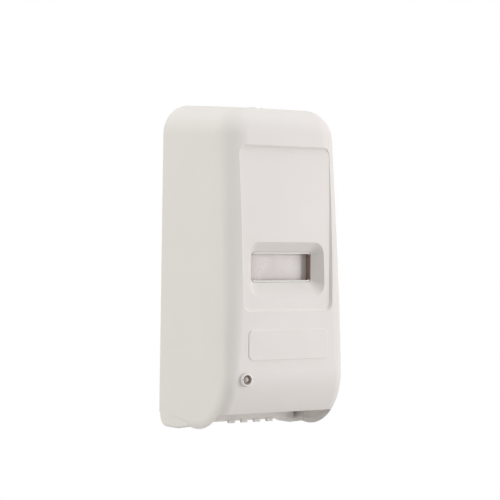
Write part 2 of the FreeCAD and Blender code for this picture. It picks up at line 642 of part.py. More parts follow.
def tray():
    """The rounded lower housing that carries the hinge pins and shows under the cover."""
    def block(inset, top):
        i = f"({inset})"
        plan = outline([
            (f"-tray_half + {i}", "-0.5"),
            (f"-tray_half + {i}", "-tray_reach + tray_round", f"tray_round - {i}"),
            (f"-tray_half + tray_round", f"-tray_reach + {i}"),
            (f"tray_half - tray_round", f"-tray_reach + {i}", f"tray_round - {i}"),
            (f"tray_half - {i}", "-tray_reach + tray_round"), (f"tray_half - {i}", "-0.5"),
        ], Rotation(), ("0", "0", "below"))
        upright = slab(plan, Vector(0, 0, 1), "100")
        side = outline([
            (f"-0.5 - {i}", top), (f"-0.5 - {i}", f"tray_low + 9 + {i}", "-60"),
            (f"-7 - {i}", f"tray_low + 2 + {i}"), ("-18", f"tray_low + {i}"), ("-30", f"tray_low + {i}"),
            ("-tray_reach - 5", f"tray_nose + {i} + 1"), ("-tray_reach - 5", top),
        ], SIDE)
        return common(upright, slab(side, Vector(1, 0, 0), "tray_half + 2", "tray_half + 2"))

    shell = cut(block("0", "tray_top"), block("tray_wall", "tray_top + 10"))
    ribs = [between((f"{k} * rib_pitch - rib_width / 2", "-tray_reach - rib_proud", "tray_nose - 1.4"),
                    (f"{k} * rib_pitch + rib_width / 2", "-tray_reach + 1.5", "tray_nose + 1.4"))
            for k in (-1.5, -0.5, 0.5, 1.5)]
    bosses = ears("ear_radius - 4", "tray_half - 8", "tray_half - 1")
    bores = ears("pin_radius", "tray_half - 9", "tray_half + 5")
    keep("lower_housing", cut(join(shell, *ribs, *bosses), *bores))
    keep("hinge_pins", group(*ears("pin_radius", "tray_half - 8", "half_width - ear_sink - ear_skin - 0.1")))


def under_panel():
    """The panel behind the front wall that the nozzle and the hand sensor look out of."""
    panel = between(("-tray_half + 2", "-panel_reach", "under_level"),
                    ("tray_half - 2", "-tray_reach - 0.2", "tray_top"))
    bores = [rod(radius, "20", (x, "pump_y", "under_level - 5"))
             for x, radius in (("0", "5.2"), ("-18", "4.5"), ("18", "4.5"))]
    keep("under_panel", cut(panel, *bores))
    for name, x in (("ir_emitter", "-18"), ("ir_receiver", "18")):
        turned(name, [("0", "-2.6"), ("1.8", "-2.1"), ("2.5", "-0.6"), ("2.5", "4"), ("2.9", "4"),
                      ("2.9", "5"), ("0", "5")], (x, "pump_y", "tray_top + 1.2"))
    windows = [cut(rod("4.45", "under_thick - 0.1", (x, "pump_y", "under_level")),
                   rod("2.6", "5", (x, "pump_y", "under_level + 0.8"))) for x in ("-18", "18")]
    keep("sensor_windows", group(*windows))
    keep("sensor_board", cut(between(("-26", "pump_y - 6", "tray_top + 6.3"),
                                     ("26", "pump_y + 6", "tray_top + 7.7")),
                             rod("5.2", "20", ("0", "pump_y", "tray_top"))))


def tube_path(radius):
    """The pump tube: down from the bottle, round the rotor and down to the nozzle."""
    bend, turn = "tube_bend", "elbow"
    high, low = "rotor_level + tube_bend", "rotor_level - tube_bend"
    path = doc.addObject("Part::Feature", "tube_line")
    centre = Vector(size("rotor_x"), size("pump_y"), size("rotor_level"))
    r, e = size(bend), size(turn)

    def at(x, z):
        return Vector(x, centre.y, z)

    def arc(a, b, c):
        return Part.Arc(a, b, c).toShape()

    def line(a, b):
        return Part.LineSegment(a, b).toShape()

    up, down = size(high), size(low)
    bevel = e * (1 - math.sqrt(0.5))
    edges = [
        line(at(0, size("case_top")), at(0, up + e)),
        arc(at(0, up + e), at(-bevel, up + bevel), at(-e, up)),
        line(at(-e, up), at(centre.x, up)),
        arc(at(centre.x, up), at(centre.x - r, centre.z), at(centre.x, down)),
        line(at(centre.x, down), at(-e, down)),
        arc(at(-e, down), at(-bevel, down - bevel), at(0, down - e)),
        line(at(0, down - e), at(0, size("case_low"))),
    ]
    path.Shape = Part.Wire(edges)
    ring = outline_ring(radius)
    sweep = doc.addObject("Part::Sweep", "tube")
    sweep.Sections = [ring]
    sweep.Spine = (path, [])
    sweep.Solid = True
    sweep.Frenet = True
    return sweep


def outline_ring(radius):
    """A level circle about the outlet's axis, for the tube's path to sweep."""
    ring = doc.addObject("Part::Circle", "ring")
    ring.setExpression("Radius", bound(radius))
    return place(ring, ("0", "pump_y", "case_top"))


def gear_shape(teeth, width, phase):
    """An involute spur gear about Y from y = 0 forward, a tooth standing at the phase angle."""
    module = size("gear_module")
    pitch = module * teeth / 2
    base = pitch * math.cos(math.radians(20))
    tip, root = pitch + 0.85 * module, pitch - 1.2 * module
    flat = math.pi / (2 * teeth) - 0.05 * module / pitch
    start = flat + math.tan(math.radians(20)) - math.radians(20)

    def half_angle(radius):
        if radius <= base:
            return start
        slope = math.acos(base / radius)
        return start - math.tan(slope) + slope

    low = max(base, root)
    radii = [root] + [low + (tip - low) * step / 4 for step in range(5)]
    points = []
    for tooth in range(teeth):
        middle = math.radians(phase) + 2 * math.pi * tooth / teeth
        flank = [(r, middle - half_angle(r)) for r in radii]
        flank += [(r, middle + half_angle(r)) for r in reversed(radii)]
        points += [Vector(r * math.cos(a), 0, r * math.sin(a)) for r, a in flank]
    wire = Part.makePolygon(points + points[:1])
    return Part.Face(wire).extrude(Vector(0, -width, 0))


def gear(node, teeth, phase, at, extra=(), bore=None):
    """A gear as a sub-part, fused with further rods and bored along its axis."""
    item = doc.addObject("Part::Feature", "teeth")
    item.Shape = gear_shape(int(size(teeth)), size("gear_width"), phase)
    place(item, at)
    whole = join(item, *extra) if extra else item
    if bore:
        hole = rod(bore, "60", (at[0], f"({at[1]}) + 30", at[2]), "-Y")
        whole = cut(whole, hole)
    return keep(node, whole)


def pump():
    """The pump module: case, motor, gears, rotor with rollers, tube and clear cover."""
    left, right, low, top = "case_left", "case_right", "case_low", "case_top"
    wall = "case_wall"
    plate_y = "stack_y + pump_plate_thick"
    shell = cut(between((left, plate_y, low), (right, "-plate_thick", top)),
                between((f"{left} + {wall}", f"{plate_y} - 5", f"{low} + {wall}"),
                        (f"{right} - {wall}", f"-plate_thick - {wall}", f"{top} - {wall}")))
    keep("gear_case", shell)
    motor_hole = rod("3.1", "20", ("motor_x", "motor_y + 5", "motor_level"), "-Y")
    inset = f"{wall} + 0.1"
    motor_plate = between((f"{left} + {inset}", "motor_plate_y", f"{low} + {inset}"),
                          (f"{right} - ({inset})", "motor_y", f"{top} - ({inset})"))
    axle_hole = rod("axle_radius", "20", ("compound_x", "motor_y + 5", "rotor_level"), "-Y")
    rotor_hole = rod("shaft_radius + running_gap", "20", ("rotor_x", "motor_y + 5", "rotor_level"), "-Y")
    keep("motor_plate", cut(motor_plate, motor_hole, axle_hole, rotor_hole))
    keep("motor", join(
        rod("motor_radius", "motor_length", ("motor_x", "motor_y + motor_length", "motor_level"), "-Y"),
        rod("3", "1.4", ("motor_x", "motor_y", "motor_level"), "-Y"),
        rod("4", "2", ("motor_x", "motor_y + motor_length + 2", "motor_level"), "-Y")))
    keep("compound_axle", rod("axle_radius", "motor_y - stack_y - pump_plate_thick + 1.7",
                              ("compound_x", "motor_y", "rotor_level"), "-Y"))
    keep("pump_plate", cut(
        between((left, "stack_y", low), (right, plate_y, top)),
        rod("shaft_radius + running_gap", "20", ("rotor_x", f"{plate_y} + 5", "rotor_level"), "-Y"),
        rod("axle_radius", "1.8", ("compound_x", f"{plate_y} + 0.01", "rotor_level"), "-Y")))
    small_phase = 180 + 180 / size("pinion_teeth")
    gear("compound_pinion", "pinion_teeth", small_phase,
         ("compound_x", "gear_front + gear_width", "rotor_level"),
         (rod("3.6", "gear_back - gear_front - gear_width",
              ("compound_x", "gear_back", "rotor_level"), "-Y"),),
         "axle_radius + running_gap")
    gear("compound_wheel", "wheel_teeth", -30, ("compound_x", "gear_back + gear_width", "rotor_level"),
         (), "axle_radius + running_gap")
    gear("motor_pinion", "pinion_teeth", 150 + 180 / size("pinion_teeth"),
         ("motor_x", "gear_back + gear_width", "motor_level"),
         (rod("1", "gear_width + 3", ("motor_x", "motor_plate_y + 0.1", "motor_level"), "-Y"),))
    gear("rotor_gear", "wheel_teeth", 0, ("rotor_x", "gear_front + gear_width", "rotor_level"), (),
         "shaft_radius")
    keep("rotor_shaft", rod("shaft_radius", "motor_y - stack_y + rotor_thick + 1.4",
                            ("rotor_x", "motor_y", "rotor_level"), "-Y"))
    spots = [(f"rotor_x + roller_pitch * {math.cos(math.radians(a)):.6f}",
              f"rotor_level + roller_pitch * {math.sin(math.radians(a)):.6f}") for a in (90, 210, 330)]
    cheeks = []
    for start in ("stack_y - 0.6", "stack_y - rotor_thick + 2.1"):
        cheeks.append(rod("roller_pitch + 2.6", "1.5", ("rotor_x", start, "rotor_level"), "-Y"))
    hub = rod("5", "rotor_thick - 1.2", ("rotor_x", "stack_y - 0.6", "rotor_level"), "-Y")
    pins = [rod("1", "rotor_thick - 1.2", (x, "stack_y - 0.6", z), "-Y") for x, z in spots]
    keep("rotor_carrier", cut(
        join(hub, *cheeks), rod("shaft_radius", "60", ("rotor_x", "stack_y + 20", "rotor_level"), "-Y"),
        *[rod("1", "30", (x, "stack_y + 5", z), "-Y") for x, z in spots]))
    keep("roller_pins", group(*pins))
    for number, (x, z) in enumerate(spots, start=1):
        keep(f"roller_{number}", cut(
            rod("roller_radius", "rotor_thick - 4.8", (x, "stack_y - 2.4", z), "-Y"),
            rod("1 + running_gap", "30", (x, "stack_y + 5", z), "-Y")))
    keep("pump_tube", tube_path("tube_radius"))
    chamber = rod("tube_bend + tube_radius + tube_gap", "20",
                  ("rotor_x", "stack_y + 5", "rotor_level"), "-Y")
    slots = [
        between(("rotor_x", "stack_y - 20", "rotor_level + tube_bend - tube_radius - 3"),
                ("tube_radius + tube_gap", "stack_y + 5",
                 "rotor_level + tube_bend + tube_radius + tube_gap")),
        between(("rotor_x", "stack_y - 20", "rotor_level - tube_bend - tube_radius - tube_gap"),
                ("tube_radius + tube_gap", "stack_y + 5", "rotor_level - tube_bend + tube_radius + 3")),
        between(("-tube_radius - 2", "pump_y - tube_radius - tube_gap", "rotor_level + tube_bend"),
                ("tube_radius + tube_gap", "pump_y + tube_radius + tube_gap", "case_top + 5")),
        between(("-tube_radius - 2", "pump_y - tube_radius - tube_gap", "case_low - 5"),
                ("tube_radius + tube_gap", "pump_y + tube_radius + tube_gap", "rotor_level - tube_bend")),
    ]
    keep("pump_head", cut(between((left, "stack_y - rotor_thick", low), (right, "stack_y", top)),
                          chamber, *slots))
    front = "stack_y - rotor_thick - pump_cover_thick"
    corners = [(x, z) for x in (f"{left} + 5", f"{right} - 5") for z in (f"{low} + 5", f"{top} - 5")]
    keep("pump_cover", cut(
        between((left, front, low), (right, "stack_y - rotor_thick", top)),
        rod("shaft_radius + running_gap", "1.5",
            ("rotor_x", "stack_y - rotor_thick + 0.01", "rotor_level"), "-Y"),
        *[rod("1.5", "10", (x, "stack_y - rotor_thick + 5", z), "-Y") for x, z in corners]))
    keep("pump_screws", group(*[rod("2.8", "1.6", (x, front, z), "-Y") for x, z in corners]))
    turned("nozzle", [
        ("tube_radius + 0.05", "0"), ("4.6", "0"), ("4.6", "-3"), ("6.4", "-3"), ("6.4", "-4.4"),
        ("4.9", "-4.4"), ("4.9", "-11"), ("3.6", "-12"), ("1.6", "-12"), ("1.6", "-6"),
        ("tube_radius + 0.05", "-6")], ("0", "pump_y", "case_low"))
    turned("nozzle_tip", [("1.6", "-12.05"), ("3.6", "-12.05"), ("3.2", "-15.5"), ("2", "-16.8"),
                          ("0.8", "-16.8")],
           ("0", "pump_y", "case_low"))
    keep("control_board", between(("case_left + 5", "-plate_thick - 8.6", "case_low + 5"),
                                  ("case_right - 5", "-plate_thick - 7", "case_top - 6")))
    side = "case_right"
    keep("switch_housing", cut(
        between((side, "pump_y + 16", "rotor_level - 7"), (f"{side} + 5", "pump_y + 26", "rotor_level + 7")),
        between((f"{side} + 2", "pump_y + 18", "rotor_level - 4.8"),
                (f"{side} + 8", "pump_y + 24", "rotor_level + 4.8"))))
    keep("switch_slider", join(
        between((f"{side} + 2.1", "pump_y + 18.1", "rotor_level - 4.7"),
                (f"{side} + 4.6", "pump_y + 23.9", "rotor_level + 1.6")),
        between((f"{side} + 2.1", "pump_y + 19.5", "rotor_level - 3.4"),
                (f"{side} + 7.2", "pump_y + 22.5", "rotor_level - 0.4"))))


def batteries():
    """The battery box on the back plate, its cells, contacts and sliding door."""
    back, front = "-box_back", "box_front"
    shell = cut(between(("-box_half", front, "box_foot"), ("box_half", back, "box_top")),
                between(("-box_half + box_wall", f"{front} - 5", "box_foot + box_wall"),
                        ("box_half - box_wall", f"{back} - box_wall", "box_top - box_wall")))
    keep("battery_box", join(shell, between(("-box_half + 8", back, "box_foot + 8"),
                                            ("box_half - 8", "-plate_thick", "box_top - 8"))))
    lows = ["box_foot + box_wall + spring_room", "box_foot + box_wall + spring_room + cell_length"]
    cells, springs, tabs = [], [], []
    for sign in ("-", ""):
        for low in lows:
            cells.append(join(rod("cell_radius", "cell_length - 2", (f"{sign}cell_x", "cell_y", low)),
                              rod("3.6", "1.6", (f"{sign}cell_x", "cell_y", f"{low} + cell_length - 2"))))
        springs.append(cone("8", "5", "spring_room - 0.8",
                            (f"{sign}cell_x", "cell_y", "box_foot + box_wall + 0.6")))
        for level in ("box_foot + box_wall", "box_top - box_wall - 0.6"):
            tabs.append(between((f"{sign}cell_x - 9", "cell_y - 9", level),
                                (f"{sign}cell_x + 9", "cell_y + 9", f"{level} + 0.6")))
    keep("battery_cells", group(*cells))
    keep("battery_springs", group(*springs))
    keep("battery_contacts", group(*tabs))
    keep("battery_door", join(
        between(("-box_half", f"{front} - 0.1 - door_thick", "box_foot"),
                ("box_half", f"{front} - 0.1", "box_top - 1")),
        between(("-box_half + 10", f"{front} - 0.4 - door_thick", "box_top - 12"),
                ("box_half - 10", f"{front} - 0.1", "box_top - 10.5"))))


def bottle():
    """The refillable bottle, its cap and spout, and the dock that it stands in."""
    dock = between(("-dock_half", "bottle_front - 1", "dock_top - dock_thick"),
                   ("dock_half", "-bottle_back + 1.5", "dock_top"))
    posts = [between((x, "stack_y + 1", "case_top"), (f"{x} + 6", "-bottle_back", "dock_top - dock_thick"))
             for x in ("case_left + 2", "case_right - 8")]
    well = rod("spout_radius + 2.3", "30", ("0", "pump_y", "case_top"))
    keep("bottle_dock", cut(join(dock, *posts), well))
    turned("intake_socket", [
        ("tube_radius + 0.05", "0"), ("5", "0"), ("5", "0.8"), ("spout_radius + 2.2", "0.8"),
        ("spout_radius + 2.2", "dock_top - case_top"), ("spout_radius + 0.6", "dock_top - case_top"),
        ("spout_radius + 0.6", "1.8"), ("tube_radius + 0.05", "1.8")], ("0", "pump_y", "case_top"))
    depth = "-bottle_back - bottle_front"
    block = between(("-bottle_half", "bottle_front", "bottle_foot"),
                    ("bottle_half", "-bottle_back", "bottle_top"))
    outer = rounded(block, "bottle_round", lambda line: True)
    hollow = between(("-bottle_half + bottle_wall", "bottle_front + bottle_wall",
                      "bottle_foot + bottle_wall"),
                     ("bottle_half - bottle_wall", "-bottle_back - bottle_wall", "bottle_top - bottle_wall"))
    inner = rounded(hollow, "bottle_round - bottle_wall", lambda line: True)
    cap_y = f"bottle_front + ({depth}) / 2"
    neck = rod("neck_radius", "8", ("cap_x", cap_y, "bottle_top - 1"))
    spout = rod("spout_radius", "spout_length + 1", ("0", "pump_y", "bottle_foot - spout_length"))
    keep("bottle", cut(join(outer, neck, spout), inner,
                       rod("neck_radius - bottle_wall", "30", ("cap_x", cap_y, "bottle_top - 5")),
                       rod("spout_radius - bottle_wall", "spout_length + 8",
                           ("0", "pump_y", "bottle_foot - spout_length + bottle_wall")),
                       rod("2", "20", ("0", "pump_y", "bottle_foot - spout_length - 5"))))
    turned("spout_seal", [("spout_radius - 0.9", "-0.1"), ("spout_radius", "-0.1"), ("spout_radius", "-1.3"),
                          ("spout_radius - 0.9", "-1.3")], ("0", "pump_y", "bottle_foot - spout_length"))
    turned("bottle_cap", [
        ("neck_radius + 0.1", "0"), ("cap_radius", "0"), ("cap_radius", "cap_height - 1.5"),
        ("cap_radius - 1.5", "cap_height"), ("0", "cap_height"), ("0", "cap_height - 2"),
        ("neck_radius + 0.1", "cap_height - 2")], ("cap_x", cap_y, "bottle_top + 0.1"))
    keep("cap_seal", cut(rod("neck_radius", "1.6", ("cap_x", cap_y, "bottle_top + 7.1")),
                         rod("neck_radius - 3", "5", ("cap_x", cap_y, "bottle_top + 6"))))


front_cover()
window()
indicator()
lock()
back_plate()
tray()
under_panel()
pump()
batteries()
bottle()

# ---------------------------------------------------------------- finish
doc.recompute()
faults = [f"{item.Label}: {item.State}" for item in doc.Objects
          if {"Invalid", "Error"} & set(item.State)]
for node, item in parts.items():
    if item.Shape.isNull() or not item.Shape.isValid() or not item.Shape.Solids:
        faults.append(f"{node}: shape is not a valid solid")
if faults:
    raise RuntimeError("; ".join(faults))
os.makedirs("parts", exist_ok=True)
for node, item in parts.items():
    item.Shape.exportStep(f"parts/{node}.step")
    print(node, len(item.Shape.Solids), round(item.Shape.Volume))
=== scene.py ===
"""Looks of the wall mounted soap dispenser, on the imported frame.

Metres, X right, -Y out of the wall, Z up.
"""
import json
from math import cos, pi, radians, sin

import bmesh
import bpy
from mathutils import Matrix, Vector


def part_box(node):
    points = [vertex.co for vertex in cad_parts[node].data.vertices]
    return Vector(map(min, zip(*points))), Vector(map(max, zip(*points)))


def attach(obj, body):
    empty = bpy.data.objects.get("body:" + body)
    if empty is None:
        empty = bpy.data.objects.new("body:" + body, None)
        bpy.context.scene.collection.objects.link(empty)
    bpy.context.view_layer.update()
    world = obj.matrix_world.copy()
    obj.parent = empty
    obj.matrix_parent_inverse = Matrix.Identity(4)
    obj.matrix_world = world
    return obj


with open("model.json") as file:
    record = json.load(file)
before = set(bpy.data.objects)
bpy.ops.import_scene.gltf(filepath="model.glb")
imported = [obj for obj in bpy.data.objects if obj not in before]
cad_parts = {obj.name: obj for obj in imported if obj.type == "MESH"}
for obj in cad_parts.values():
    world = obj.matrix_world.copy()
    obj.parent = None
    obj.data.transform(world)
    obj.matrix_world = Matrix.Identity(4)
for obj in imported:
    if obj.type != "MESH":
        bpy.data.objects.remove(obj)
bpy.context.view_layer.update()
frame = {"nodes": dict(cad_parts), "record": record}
MM = 0.001
GLOSS_SPREAD = 0.06


# ---------------------------------------------------------------- materials

class Finish:
    """A material under construction: its nodes, links and its Principled shader."""

    def __init__(self, name):
        self.material = bpy.data.materials.new(name)
        self.material.use_nodes = True
        self.tree = self.material.node_tree
        self.shader = self.tree.nodes["Principled BSDF"]
        self.place = self.add("ShaderNodeTexCoord").outputs["Object"]

    def add(self, kind, **values):
        node = self.tree.nodes.new(kind)
        for key, value in values.items():
            setattr(node, key, value)
        return node

    def link(self, output, target):
        self.tree.links.new(output, target)

    def set(self, **values):
        for key, value in values.items():
            self.shader.inputs[key.replace("_", " ")].default_value = value

    def noise(self, scale, detail, stretch=(1, 1, 1)):
        """Noise over the object's own place, stretched along its axes."""
        spread = self.add("ShaderNodeMapping")
        spread.inputs["Scale"].default_value = stretch
        self.link(self.place, spread.inputs["Vector"])
        node = self.add("ShaderNodeTexNoise")
        node.inputs["Scale"].default_value = scale
        node.inputs["Detail"].default_value = detail
        self.link(spread.outputs["Vector"], node.inputs["Vector"])
        return node.outputs["Fac"]

    def ramp(self, factor, stops):
        """Colours along a factor, from places and their colours."""
        node = self.add("ShaderNodeValToRGB")
        band = node.color_ramp
        while len(band.elements) < len(stops):
            band.elements.new(0.5)
        for element, (at, colour) in zip(band.elements, stops):
            element.position = at
            element.color = (*colour, 1)
        self.link(factor, node.inputs["Fac"])
        return node.outputs["Color"]

    def remap(self, factor, low, high, start=0.3, end=0.7):
        """A factor from start to end, spread from low to high."""
        node = self.add("ShaderNodeMapRange")
        for key, value in (("From Min", start), ("From Max", end),
                           ("To Min", low), ("To Max", high)):
            node.inputs[key].default_value = value
        self.link(factor, node.inputs["Value"])
        return node.outputs["Result"]

    def bump(self, height, distance, strength, under=None):
        """Relief from a height, laid over an earlier relief if one is given."""
        node = self.add("ShaderNodeBump")
        node.inputs["Distance"].default_value = distance
        node.inputs["Strength"].default_value = strength
        self.link(height, node.inputs["Height"])
        if under is not None:
            self.link(under, node.inputs["Normal"])
        self.link(node.outputs["Normal"], self.shader.inputs["Normal"])
        return node.outputs["Normal"]


def shade(colour, factor):
    """A colour made lighter or darker."""
    return tuple(min(1.0, part * factor) for part in colour)


def plastic(name, colour, rough, grain, depth, vary, **more):
    """Moulded plastic: faint cloudy colour, uneven gloss, flow waviness and a fine mould texture.

    Grain is the texture's fineness and depth its height in millimetres.
    """
    made = Finish(name)
    stops = [(0.3, shade(colour, 1 - vary)), (0.5, colour), (0.72, shade(colour, 1 + vary))]
    made.link(made.ramp(made.noise(14, 4), stops), made.shader.inputs["Base Color"])
    gloss = made.remap(made.noise(60, 5), rough - GLOSS_SPREAD, rough + GLOSS_SPREAD)
    made.link(gloss, made.shader.inputs["Roughness"])
    flow = made.bump(made.noise(22, 1), 0.6 * MM, 0.25)
    made.bump(made.noise(grain, 2), depth * MM, 0.6, under=flow)
    made.set(IOR=1.5, **more)
    return made.material


def metal(name, colour, rough, stretch=(1, 1, 12), depth=0.01):
    """Turned, drawn or rolled metal: fine lines one way, uneven gloss along them, darker patches."""
    made = Finish(name)
    lines = made.noise(700, 3, stretch)
    made.link(made.ramp(made.noise(40, 4), [(0.3, shade(colour, 0.94)), (0.7, colour)]),
              made.shader.inputs["Base Color"])
    made.link(made.remap(lines, rough * 0.7, rough * 1.4), made.shader.inputs["Roughness"])
    made.bump(lines, depth * MM, 0.5)
    made.set(Metallic=1.0)
    return made.material


def clear(name, colour, rough, through, ior=1.49, depth=0.02):
    """Clear or smoked moulding: transmission with a slight flow waviness and haze."""
    made = Finish(name)
    made.link(made.ramp(made.noise(18, 3), [(0.3, shade(colour, 0.95)), (0.7, colour)]),
              made.shader.inputs["Base Color"])
    haze = made.remap(made.noise(80, 4), rough * 0.75, rough * 1.25)
    made.link(haze, made.shader.inputs["Roughness"])
    made.bump(made.noise(260, 2), depth * MM, 0.4)
    made.set(IOR=ior, Transmission_Weight=through)
    return made.material


def board(name):
    """Printed circuit board: glossy green lacquer, sunk and paler along the gaps of a track pattern."""
    made = Finish(name)
    tracks = made.add("ShaderNodeTexVoronoi", feature="DISTANCE_TO_EDGE")
    tracks.inputs["Scale"].default_value = 260
    made.link(made.place, tracks.inputs["Vector"])
    edge = made.remap(tracks.outputs["Distance"], 0.0, 1.0, 0.03, 0.09)
    made.link(made.ramp(edge, [(0.0, (0.05, 0.22, 0.08)), (0.6, (0.015, 0.10, 0.035))]),
              made.shader.inputs["Base Color"])
    made.bump(edge, 0.02 * MM, 0.5)
    made.set(Roughness=0.32, Coat_Weight=0.5, Coat_Roughness=0.12)
    return made.material


WARM = (0.80, 0.765, 0.735)
FINISHES = {
    "cover_white": plastic("cover_white", WARM, 0.5, 1100, 0.012, 0.012, Specular_IOR_Level=0.28),
    # window frame: partly the part's own dark brown, partly painted shade, darkened so the window hole's
    # walls and the light's ring look shaded
    "window_frame": plastic("window_frame", (0.33, 0.23, 0.19), 0.3, 900, 0.012, 0.03),
    "window_smoke": clear("window_smoke", (0.73, 0.685, 0.665), 0.34, 0.06, depth=0.004),
    "steel": metal("steel", (0.50, 0.49, 0.47), 0.28),
    "bezel_white": plastic("bezel_white", (0.74, 0.71, 0.68), 0.28, 1300, 0.008, 0.01),
    "light_grey": plastic("light_grey", (0.50, 0.44, 0.42), 0.22, 700, 0.006, 0.04),
    "lock_chrome": metal("lock_chrome", (0.50, 0.49, 0.48), 0.26, (1, 1, 1), 0.003),
    "base_white": plastic("base_white", (0.74, 0.705, 0.67), 0.44, 900, 0.02, 0.015),
    "black_plastic": plastic("black_plastic", (0.022, 0.021, 0.021), 0.42, 800, 0.02, 0.15),
    "pump_grey": plastic("pump_grey", (0.24, 0.245, 0.25), 0.45, 800, 0.025, 0.04),
    "clear_cover": clear("clear_cover", (0.93, 0.94, 0.94), 0.06, 0.9),
    "gear_nylon": plastic("gear_nylon", (0.78, 0.76, 0.68), 0.5, 700, 0.02, 0.03, Subsurface_Weight=0.1),
    "roller_white": plastic("roller_white", (0.82, 0.82, 0.80), 0.35, 900, 0.01, 0.02),
    "silicone": clear("silicone", (0.88, 0.87, 0.82), 0.35, 0.45, 1.41),
    "motor_can": metal("motor_can", (0.55, 0.55, 0.54), 0.3, (1, 12, 1)),
    "brass": metal("brass", (0.78, 0.57, 0.25), 0.22, (1, 12, 1)),
    "ir_black": plastic("ir_black", (0.03, 0.012, 0.018), 0.08, 1200, 0.004, 0.1),
    "board_green": board("board_green"),
    "switch_red": plastic("switch_red", (0.60, 0.035, 0.03), 0.35, 900, 0.01, 0.05),
    "cell_sleeve": plastic("cell_sleeve", (0.10, 0.11, 0.13), 0.3, 900, 0.01, 0.08),
    "contact_nickel": metal("contact_nickel", (0.68, 0.66, 0.60), 0.2, (1, 1, 1)),
    "bottle_clear": clear("bottle_clear", (0.86, 0.87, 0.86), 0.16, 0.8),
    "cap_blue": plastic("cap_blue", (0.05, 0.17, 0.36), 0.4, 900, 0.02, 0.04),
}

for part in frame["record"]["subparts"]:
    node = frame["nodes"][part["node"]]
    for holder in node.material_slots:
        holder.link = "OBJECT"
        holder.material = FINISHES[part["material_slot"]]


# ---------------------------------------------------------------- added pieces

TUBE_SIDES = 12
BLOCK_BEVEL = 0.12 * MM


def keep(name, shape, body, slot, smooth=False):
    """A finished shape as a piece that rides on a body in one of the record's finishes."""
    mesh = bpy.data.meshes.new(name)
    shape.to_mesh(mesh)
    shape.free()
    mesh.validate()
    mesh.materials.append(FINISHES[slot])
    for face in mesh.polygons:
        face.use_smooth = smooth
    made = bpy.data.objects.new(name, mesh)
    bpy.context.scene.collection.objects.link(made)
    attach(made, body)


def ring_of(shape, centre, along, radius):
    """A circle of vertices about a point of a tube's path."""
    out = along.cross(Vector((0, 1, 0))).normalized()
    up = out.cross(along).normalized()
    return [shape.verts.new(centre + radius * (out * cos(a) + up * sin(a)))
            for a in (2 * pi * step / TUBE_SIDES for step in range(TUBE_SIDES))]


def tube(name, path, radius, body, slot, closed=False):
    """A round bead or wire along a path of points; an open one has flat ends."""
    shape = bmesh.new()
    count = len(path)
    rings = []
    for index, point in enumerate(path):
        before = path[index - 1] if closed or index else point
        after = path[(index + 1) % count] if closed or index + 1 < count else point
        rings.append(ring_of(shape, point, (after - before).normalized(), radius))
    for index in range(count if closed else count - 1):
        ring, after = rings[index], rings[(index + 1) % count]
        for step in range(TUBE_SIDES):
            beside = (step + 1) % TUBE_SIDES
            shape.faces.new((ring[step], ring[beside], after[beside], after[step]))
    if not closed:
        shape.faces.new(rings[0])
        shape.faces.new(rings[-1])
    bmesh.ops.recalc_face_normals(shape, faces=shape.faces)
    keep(name, shape, body, slot, smooth=True)


def sleeve(name, outer, inner, front, back, body, slot):
    """A wall between two closed outlines of equal count, from one depth to another."""
    shape = bmesh.new()
    loops = [[shape.verts.new(Vector((p.x, y, p.z))) for p in path]
             for path, y in ((outer, front), (inner, front), (inner, back), (outer, back))]
    count = len(outer)
    for one, two in zip(loops, loops[1:] + loops[:1]):
        for step in range(count):
            after = (step + 1) % count
            shape.faces.new((one[step], one[after], two[after], two[step]))
    bmesh.ops.recalc_face_normals(shape, faces=shape.faces)
    keep(name, shape, body, slot)


def arc(cx, cz, radius, y, start, end, steps=8):
    """Points on a circle in the plane at y, between two angles in degrees."""
    return [Vector((cx + radius * cos(radians(start + (end - start) * step / steps)), y,
                    cz + radius * sin(radians(start + (end - start) * step / steps))))
            for step in range(steps + 1)]


# the lens is drawn as set in a dark sleeve that lines the cover's window hole and paints the shade on its
# walls, with pale beads along its top and bottom edges as a painted highlight where the lens's edges catch
# the light; the frame behind the hole laps its sides and ends
SIDE_LAP, END_LAP, HOLE_ROUND = 9.2 * MM, 1.5 * MM, 3 * MM
frame_low, frame_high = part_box("window_frame")
hole_left, hole_right = frame_low.x + SIDE_LAP, frame_high.x - SIDE_LAP
hole_low, hole_high = frame_low.z + END_LAP, frame_high.z - END_LAP


def hole_outline(inset):
    """Points round the window hole, moved in from its edge."""
    bend = HOLE_ROUND - inset
    left, right = hole_left + inset + bend, hole_right - inset - bend
    low, high = hole_low + inset + bend, hole_high - inset - bend
    corners = ((right, high, 0), (left, high, 90), (left, low, 180), (right, low, 270))
    return [point for x, z, start in corners for point in arc(x, z, bend, 0, start, start + 90)]


# the dark sleeve is painted shade on the walls of the window hole
SLEEVE_GAP, SLEEVE_INNER, SLEEVE_LENGTH = 0.02 * MM, 0.45 * MM, 2.35 * MM
sleeve("window_shade_sleeve", hole_outline(SLEEVE_GAP), hole_outline(SLEEVE_INNER),
       frame_low.y - SLEEVE_LENGTH, frame_low.y - SLEEVE_GAP, "cover", "window_frame")

# pale white beads at the hole's top and bottom paint the highlight of the lens's edges catching light
BEAD_RADIUS, BEAD_INSET, BEAD_BEND, BEAD_REACH = 0.75 * MM, 1.45 * MM, 1.8 * MM, 2.3 * MM
bead_y = frame_low.y - BEAD_REACH
bead_left, bead_right = hole_left + BEAD_INSET + BEAD_BEND, hole_right - BEAD_INSET - BEAD_BEND
for name, level, side in (("window_highlight_bead_top", hole_high - BEAD_INSET, 1),
                          ("window_highlight_bead_low", hole_low + BEAD_INSET, -1)):
    centre = level - side * BEAD_BEND
    path = arc(bead_left, centre, BEAD_BEND, bead_y, side * 150, side * 90)
    path += arc(bead_right, centre, BEAD_BEND, bead_y, side * 90, side * 30)
    tube(name, path, BEAD_RADIUS, "cover", "roller_white")
